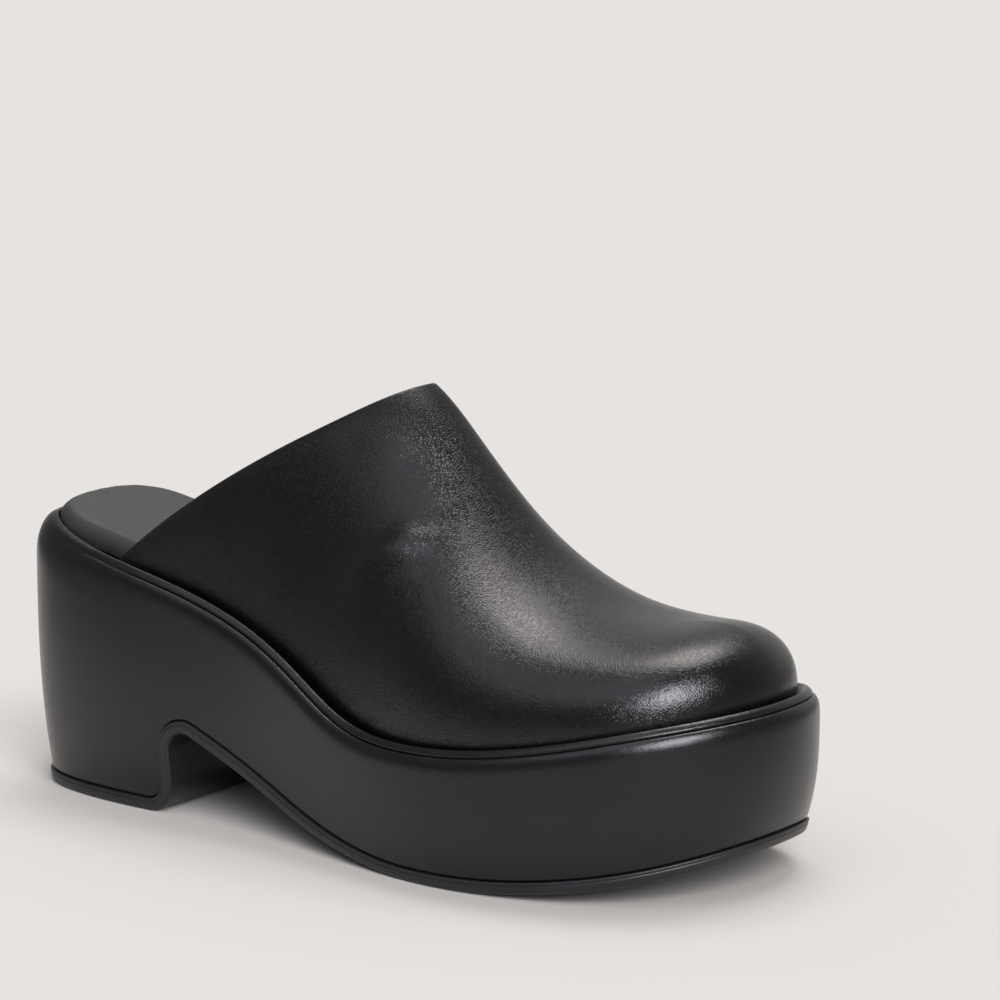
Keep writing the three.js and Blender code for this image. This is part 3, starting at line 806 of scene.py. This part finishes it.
# The lining is a thin shell that starts under the hem.
def liningShell(lining, normals, ids):
    first, rows, count = upper["hemRows"] - 1, ids.shape[1] - 1, len(lining)
    keep = ids[first:len(ids) - first]
    back = lining + normals * upper["liningDepth"]
    edge = np.concatenate([keep[0, :rows + 1], keep[-1, rows - 1::-1]])
    faces = np.concatenate([
        gridFaces(keep),
        gridFaces(keep + count),
        gridFaces(np.stack([edge, edge + count])),
        gridFaces(np.stack([keep[:, 0], keep[:, 0] + count])),
    ])
    piece = makePiece("upper_lining", np.concatenate([lining, back]), faces)
    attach(piece, "root")
    return piece


# Materials. Each leather and the rubber has cells of grain, pores, slow waves and blotches.


# Fills a node's inputs, by name or number, with values or with other nodes' outputs.
def fill(tree, node, inputs):
    for key, value in inputs.items():
        if isinstance(value, bpy.types.NodeSocket):
            tree.links.new(value, node.inputs[key])
        else:
            node.inputs[key].default_value = value
    return node


# Adds a node with its properties set and its inputs filled.
def addNode(tree, kind, inputs=None, **settings):
    node = tree.nodes.new(kind)
    for key, value in settings.items():
        setattr(node, key, value)
    return fill(tree, node, inputs or {})


# One step of arithmetic on numbers or on other nodes' outputs.
def calculate(tree, operation, *values):
    return addNode(tree, "ShaderNodeMath", dict(enumerate(values)), operation=operation).outputs[0]


# 0 up to low, most from high on, and a smooth step in between.
def softStep(tree, value, low, high, most=1.0):
    inputs = {"Value": value, "From Min": low, "From Max": high, "To Max": most}
    return addNode(tree, "ShaderNodeMapRange", inputs, interpolation_type="SMOOTHSTEP").outputs["Result"]


# How far a vector reaches along a fixed heading.
def reachAlong(tree, vector, heading):
    inputs = {0: vector, 1: heading}
    return addNode(tree, "ShaderNodeVectorMath", inputs, operation="DOT_PRODUCT").outputs["Value"]


# A number that the mesh holds at each of its points.
def attributeValue(tree, name):
    return addNode(tree, "ShaderNodeAttribute", attribute_name=name).outputs["Fac"]


# What all the looks share. Sizes are in cells of the grain.
surface = {
    "ior": 1.5,
    "warpScale": 0.3,            # waves per cell of the noise that bends the cells
    "warpReach": 0.9,            # how far it bends them
    "rounding": 0.42,            # distance from a border where a cell's top is flat
    "poreScale": 2.6,            # pores per cell
    "blotchRange": (0.32, 0.7),  # noise at the dark and at the light colour
    # painted shade: how much darker the colour is in the grain's sunk borders
    "borderShade": 0.45,                # how much darker the borders are
}


# Height of pebbled grain: cells with sunk borders plus pores, on top of slow waves.
def grainBump(tree, place, look, shader):
    perMetre = 1000 / look["grainSize"]
    warpInputs = {"Vector": place, "Scale": perMetre * surface["warpScale"], "Detail": 2}
    warp = addNode(tree, "ShaderNodeTexNoise", warpInputs)
    bendInputs = {0: warp.outputs["Color"], 1: (surface["warpReach"] / perMetre,) * 3, 2: place}
    bend = addNode(tree, "ShaderNodeVectorMath", bendInputs, operation="MULTIPLY_ADD")
    cellInputs = {"Vector": bend.outputs["Vector"], "Scale": perMetre}
    cells = addNode(tree, "ShaderNodeTexVoronoi", cellInputs, feature="DISTANCE_TO_EDGE")
    rounded = softStep(tree, cells.outputs["Distance"], 0.0, surface["rounding"])
    poreInputs = {"Vector": place, "Scale": perMetre * surface["poreScale"], "Detail": 3}
    pores = addNode(tree, "ShaderNodeTexNoise", poreInputs)
    height = calculate(tree, "MULTIPLY_ADD", pores.outputs["Fac"], look["pores"], rounded)
    waveInputs = {"Vector": place, "Scale": 1000 / look["waveSize"], "Detail": 2}
    waves = addNode(tree, "ShaderNodeTexNoise", waveInputs)
    slowInputs = {"Height": waves.outputs["Fac"], "Distance": look["waveDepth"] / 1000}
    slow = addNode(tree, "ShaderNodeBump", slowInputs)
    fineInputs = {"Height": height, "Distance": look["grainDepth"] / 1000, "Normal": slow.outputs["Normal"]}
    fine = addNode(tree, "ShaderNodeBump", fineInputs)
    fill(tree, shader, {"Normal": fine.outputs["Normal"]})
    return rounded, fine


# Colour and gloss that vary slowly, with painted shade that darkens the grain's sunk borders.
def paintLeather(tree, place, look, shader, cells):
    blotchInputs = {"Vector": place, "Scale": 1000 / look["blotchSize"], "Detail": 4}
    blotch = addNode(tree, "ShaderNodeTexNoise", blotchInputs).outputs["Fac"]
    colours = addNode(tree, "ShaderNodeValToRGB", {"Fac": blotch})
    for stop, position, shade in zip(colours.color_ramp.elements, surface["blotchRange"], ("dark", "light")):
        stop.position = position
        stop.color = (*look[shade], 1)
    # painted shade: the colour is multiplied darker where the grain's borders sink
    borderShadeInputs = {"Factor": surface["borderShade"], 6: colours.outputs["Color"], 7: cells}
    borderShade = addNode(tree, "ShaderNodeMix", borderShadeInputs, data_type="RGBA", blend_type="MULTIPLY")
    least, most = look["roughness"] - look["glossVaries"], look["roughness"] + look["glossVaries"]
    gloss = addNode(tree, "ShaderNodeMapRange", {"Value": blotch, "To Min": least, "To Max": most})
    fill(tree, shader, {"Base Color": borderShade.outputs[2], "Roughness": gloss.outputs["Result"]})
    return gloss.outputs["Result"]


# Fine creases down the side of the vamp, strongest where the attribute crinkle is 1. They are noise
# stretched along one heading and squeezed along the other. Creases and grain are flatter where the
# attribute grain is low.
def addCrinkles(tree, place, look, fine):
    axes = addNode(tree, "ShaderNodeCombineXYZ")
    for k, (heading, size) in enumerate(zip(look["crinkleHeadings"], look["crinkleSize"])):
        fill(tree, axes, {k: reachAlong(tree, place, tuple(1000 / size * c for c in heading))})
    foldInputs = {"Vector": axes.outputs["Vector"], "Scale": 1.0, "Detail": 3}
    foldInputs["Distortion"] = look["crinkleBend"]
    folds = addNode(tree, "ShaderNodeTexNoise", foldInputs, noise_type="RIDGED_MULTIFRACTAL")
    everywhere = look["crinkleAll"]
    share = calculate(tree, "MULTIPLY_ADD", attributeValue(tree, "crinkle"), 1 - everywhere, everywhere)
    strength = attributeValue(tree, "grain")
    masked = calculate(tree, "MULTIPLY", share, strength)
    height = calculate(tree, "MULTIPLY", folds.outputs["Fac"], masked)
    below = fine.inputs["Normal"].links[0].from_socket
    bumpInputs = {"Height": height, "Distance": look["crinkle"] / 1000, "Normal": below}
    bump = addNode(tree, "ShaderNodeBump", bumpInputs, invert=True)
    pebbles = fine.inputs["Height"].links[0].from_socket
    fineInputs = {"Normal": bump.outputs["Normal"], "Height": calculate(tree, "MULTIPLY", pebbles, strength)}
    fill(tree, fine, fineInputs)


# Handled leather by the collar is rougher and reflects less, where the attribute dull is 1.
def dullCollar(tree, look, shader, gloss):
    dull = attributeValue(tree, "dull")
    rougher = calculate(tree, "MULTIPLY_ADD", dull, look["dullness"], gloss)
    weaker = calculate(tree, "MULTIPLY_ADD", dull, -look["weaker"], look["reflection"])
    fill(tree, shader, {"Roughness": rougher, "Specular IOR Level": weaker})


# A material's shader fed by the functions above. Object coordinates place every pattern.
def leatherMaterial(name, look):
    material = bpy.data.materials.new(name)
    material.use_nodes = True
    tree = material.node_tree
    shader = tree.nodes["Principled BSDF"]
    place = addNode(tree, "ShaderNodeTexCoord").outputs["Object"]
    fill(tree, shader, {"IOR": surface["ior"], "Specular Tint": (*look["tint"], 1)})
    cells, fine = grainBump(tree, place, look, shader)
    gloss = paintLeather(tree, place, look, shader, cells)
    if "crinkle" in look:
        addCrinkles(tree, place, look, fine)
        dullCollar(tree, look, shader, gloss)
    return material


# In each look, sizes and depths are in millimetres.
upperLook = {
    "dark": (0.0014, 0.0014, 0.0018),
    "light": (0.0030, 0.0030, 0.0036),
    "roughness": 0.22,
    "glossVaries": 0.04,
    "tint": (0.95, 0.945, 1.0),
    "grainSize": 0.72,
    "grainDepth": 0.055,
    "pores": 0.3,
    "waveSize": 6.0,
    "waveDepth": 0.09,
    "blotchSize": 22.0,
    "reflection": 0.5,
    "dullness": 0.12,        # added roughness by the collar
    "weaker": 0.28,          # lost reflection by the collar
    "crinkle": 0.07,
    "crinkleAll": 0.25,      # share of the creases that is there all over
    "crinkleBend": 0.35,
    "crinkleSize": (2.2, 7.0),
    "crinkleHeadings": ((0.944, -0.016, -0.331), (-0.28, -0.58, -0.77)),
}

wrapLook = {
    "dark": (0.0030, 0.0030, 0.0036),
    "light": (0.0046, 0.0046, 0.0052),
    "roughness": 0.25,
    "glossVaries": 0.04,
    "tint": (0.925, 0.935, 1.0),
    "grainSize": 0.72,
    "grainDepth": 0.026,
    "pores": 0.25,
    "waveSize": 14.0,
    "waveDepth": 0.08,
    "blotchSize": 30.0,
}

padLook = {
    "dark": (0.022, 0.022, 0.0235),
    "light": (0.031, 0.031, 0.033),
    "roughness": 0.5,
    "glossVaries": 0.04,
    "tint": (0.96, 0.98, 1.0),
    "grainSize": 0.7,
    "grainDepth": 0.02,
    "pores": 0.3,
    "waveSize": 12.0,
    "waveDepth": 0.10,
    "blotchSize": 26.0,
}

rubberLook = {
    "dark": (0.0085, 0.0085, 0.0110),
    "light": (0.0140, 0.0140, 0.0175),
    "roughness": 0.42,
    "glossVaries": 0.06,
    "tint": (0.95, 0.96, 1.0),
    "grainSize": 0.4,
    "grainDepth": 0.012,
    "pores": 0.6,
    "waveSize": 8.0,
    "waveDepth": 0.04,
    "blotchSize": 18.0,
}

# The stage: camera, floor and studio. Azimuth 0 looks along +Y, and all angles are in degrees.

camera = {
    "azimuth": 36.1,
    "elevation": 10.85,
    "distance": 1300.0,
    "target": (166.1, 3.2, 102.7),
    "focalPixels": 4387.6,
    "framePixels": 1000,
    "sensor": 36.0,
}

# The floor's reaches are in metres from the shoe's middle.
stage = {
    "backdrop": (0.799, 0.768, 0.745),  # the pale warm grey behind the shoe
    "floorSize": 8.0,
    "floorNear": 0.12,       # up to here the floor is paper that takes shadows
    "floorFar": 0.29,        # from here on it has the backdrop's even colour
    "floorStretch": 1.7,     # how much sooner that happens along Y
    "floorAlbedo": 0.48,
    "floorOutside": 0.3,     # brightness of the dim ring outside the picture
    "ringSides": ((126.1, 0.26, 0.38), (-53.9, 0.28, 0.42), (36.1, 0.4, 0.5)),  # azimuth, start, full
    "ringBack": 216.1,       # azimuth behind the shoe, where the ring's sides draw apart
    "ringSpread": 0.13,      # how far they draw apart for each metre
    "ringEnd": (0.7, 1.3),   # where the ring fades again
    "ringFade": 0.7,         # how much of it fades
}


# Unit vector from the shoe to something at an azimuth and an elevation.
def directionTo(azimuth, elevation=0.0):
    a, e = math.radians(azimuth), math.radians(elevation)
    return Vector((math.sin(a) * math.cos(e), -math.cos(a) * math.cos(e), math.sin(e)))


# The camera stands at its distance from the target. Focal length: pixels times sensor over frame.
def makeCamera():
    data = bpy.data.cameras.new("view")
    data.sensor_width = camera["sensor"]
    data.lens = camera["focalPixels"] * camera["sensor"] / camera["framePixels"]
    data.clip_start = 0.05
    eye = bpy.data.objects.new("view", data)
    target = Vector((np.array(camera["target"]) + shift) / 1000)
    back = directionTo(camera["azimuth"], camera["elevation"])
    eye.location = target + back * camera["distance"] / 1000
    eye.rotation_euler = back.to_track_quat("Z", "Y").to_euler()
    bpy.context.scene.collection.objects.link(eye)
    bpy.context.scene.camera = eye


# How dim the floor is at a place, from 0 to 1: the most that any side of the ring gives. A side is a
# soft step of the reach along its heading, which starts further out the further back the place lies.
def ringShade(tree, place):
    back = calculate(tree, "MAXIMUM", reachAlong(tree, place, directionTo(stage["ringBack"])), 0.0)
    shade = None
    for azimuth, start, full in stage["ringSides"]:
        along = reachAlong(tree, place, directionTo(azimuth))
        beyond = calculate(tree, "MULTIPLY_ADD", back, -stage["ringSpread"], along)
        ahead = calculate(tree, "SUBTRACT", along, back)
        faded = softStep(tree, ahead, *stage["ringEnd"], stage["ringFade"])
        side = calculate(tree, "SUBTRACT", softStep(tree, beyond, start, full), faded)
        shade = side if shade is None else calculate(tree, "MAXIMUM", shade, side)
    return shade


# A square of paper that turns into an evenly lit backdrop away from the shoe. Outside the picture it
# is dim, so that the leather's sides stay dark.
def makeFloor():
    half = stage["floorSize"] / 2
    mesh = bpy.data.meshes.new("floor")
    corners = [(-half, -half, 0), (half, -half, 0), (half, half, 0), (-half, half, 0)]
    mesh.from_pydata(corners, [], [(0, 1, 2, 3)])
    floor = bpy.data.objects.new("floor", mesh)
    bpy.context.scene.collection.objects.link(floor)
    material = bpy.data.materials.new("pale_floor")
    material.use_nodes = True
    tree = material.node_tree
    tree.nodes.clear()
    place = addNode(tree, "ShaderNodeTexCoord").outputs["Object"]
    stretch = {0: place, 1: (1.0, stage["floorStretch"], 1.0)}
    stretched = addNode(tree, "ShaderNodeVectorMath", stretch, operation="MULTIPLY").outputs["Vector"]
    reach = addNode(tree, "ShaderNodeVectorMath", {0: stretched}, operation="LENGTH").outputs["Value"]
    far = softStep(tree, reach, stage["floorNear"], stage["floorFar"])
    tint = np.array(stage["backdrop"]) / max(stage["backdrop"]) * stage["floorAlbedo"]
    paper = addNode(tree, "ShaderNodeBsdfDiffuse", {"Color": (*tint, 1)})
    dimInputs = {"Value": ringShade(tree, place), "To Min": 1.0, "To Max": stage["floorOutside"]}
    dim = addNode(tree, "ShaderNodeMapRange", dimInputs).outputs["Result"]
    glow = addNode(tree, "ShaderNodeEmission", {"Color": (*stage["backdrop"], 1), "Strength": dim})
    blend = addNode(tree, "ShaderNodeMixShader", {0: far, 1: paper.outputs[0], 2: glow.outputs[0]})
    addNode(tree, "ShaderNodeOutputMaterial", {"Surface": blend.outputs[0]})
    mesh.materials.append(material)


# The studio round the shoe: a warm panel overhead and behind, a cool round box in front to the
# right, a dim fill from high up on the left and a faint one from behind. A heading is azimuth and
# elevation, a radius is where the patch ends and where it is full, and strengths are radiance.
studio = {
    "panelX": (-0.68, -0.15, 0.17, 0.33),  # x over z of a direction: starts, is full, is full, ends
    "panelY": (0.02, 0.2, 0.42, 0.8),      # the same for y over z
    "panelLowest": 0.02,                   # least z that they are divided by
    "panelStrength": 7.6,
    "panelColour": (1.0, 0.955, 0.90),
    "boxHeading": (54.0, 30.5),
    "boxRadius": (24.0, 11.0),
    "boxStrength": 13.0,
    "boxColour": (0.99, 0.99, 1.0),
    "fillHeading": (-6.0, 60.0),
    "fillRadius": (32.0, 14.0),
    "fillStrength": 1.1,
    "fillColour": (0.95, 0.97, 1.0),
    "backHeading": (-162.0, 18.0),
    "backRadius": (60.0, 20.0),
    "backStrength": 0.35,
    "backColour": (1.0, 0.98, 0.96),
    "base": 0.22,
}


# Round patch of light: a soft step of the cosine of the angle to its heading.
def roundPatch(tree, heading, part):
    facing = reachAlong(tree, heading, directionTo(*studio[part + "Heading"]))
    ends, full = [math.cos(math.radians(angle)) for angle in studio[part + "Radius"]]
    return softStep(tree, facing, ends, full)


# Square panel overhead: soft-edged steps of x over z and y over z, multiplied.
def panelPatch(tree, heading):
    axes = addNode(tree, "ShaderNodeSeparateXYZ", {0: heading})
    up = calculate(tree, "MAXIMUM", axes.outputs["Z"], studio["panelLowest"])
    share = None
    for axis in "XY":
        ratio = calculate(tree, "DIVIDE", axes.outputs[axis], up)
        starts, full, fullEnd, ends = studio["panel" + axis]
        for low, high in ((starts, full), (ends, fullEnd)):
            step = softStep(tree, ratio, low, high)
            share = step if share is None else calculate(tree, "MULTIPLY", share, step)
    return share


# Adds colour times strength times share to the light so far.
def addLight(tree, soFar, share, part):
    colour = tuple(studio[part + "Strength"] * c for c in studio[part + "Colour"])
    inputs = {0: share, 1: colour, 2: soFar}
    return addNode(tree, "ShaderNodeVectorMath", inputs, operation="MULTIPLY_ADD").outputs["Vector"]


# The light falls on everything, and the camera itself sees the backdrop's colour.
def makeStudio():
    world = bpy.data.worlds.new("studio")
    bpy.context.scene.world = world
    world.use_nodes = True
    tree = world.node_tree
    tree.nodes.clear()
    heading = addNode(tree, "ShaderNodeTexCoord").outputs["Generated"]
    light = addLight(tree, (studio["base"],) * 3, panelPatch(tree, heading), "panel")
    for part in ("box", "fill", "back"):
        light = addLight(tree, light, roundPatch(tree, heading, part), part)
    lit = addNode(tree, "ShaderNodeBackground", {"Color": light})
    seen = addNode(tree, "ShaderNodeBackground", {"Color": (*stage["backdrop"], 1)})
    direct = addNode(tree, "ShaderNodeLightPath").outputs["Is Camera Ray"]
    blend = addNode(tree, "ShaderNodeMixShader", {0: direct, 1: lit.outputs[0], 2: seen.outputs[0]})
    addNode(tree, "ShaderNodeOutputWorld", {"Surface": blend.outputs[0]})


# Build: stage, shapes, materials.

makeCamera()
makeFloor()
makeStudio()
print("stage done")

pieces = {
    "platform": makePlatform(),
    "outsole": makeOutsole(),
    "insole": makeInsole(),
}
pieces["leather"], pieces["lining"] = makeUpper()
print("shapes done")

materials = {
    "platform": leatherMaterial("wrap_leather_fine", wrapLook),
    "outsole": leatherMaterial("sole_rubber_fine", rubberLook),
    "insole": leatherMaterial("pad_leather_fine", padLook),
    "leather": leatherMaterial("vamp_leather_fine", upperLook),
    "lining": leatherMaterial("lining_leather_fine", padLook),
}
for key, piece in pieces.items():
    piece.data.materials.append(materials[key])
print("materials done")

bpy.context.scene.view_settings.view_transform = "Standard"
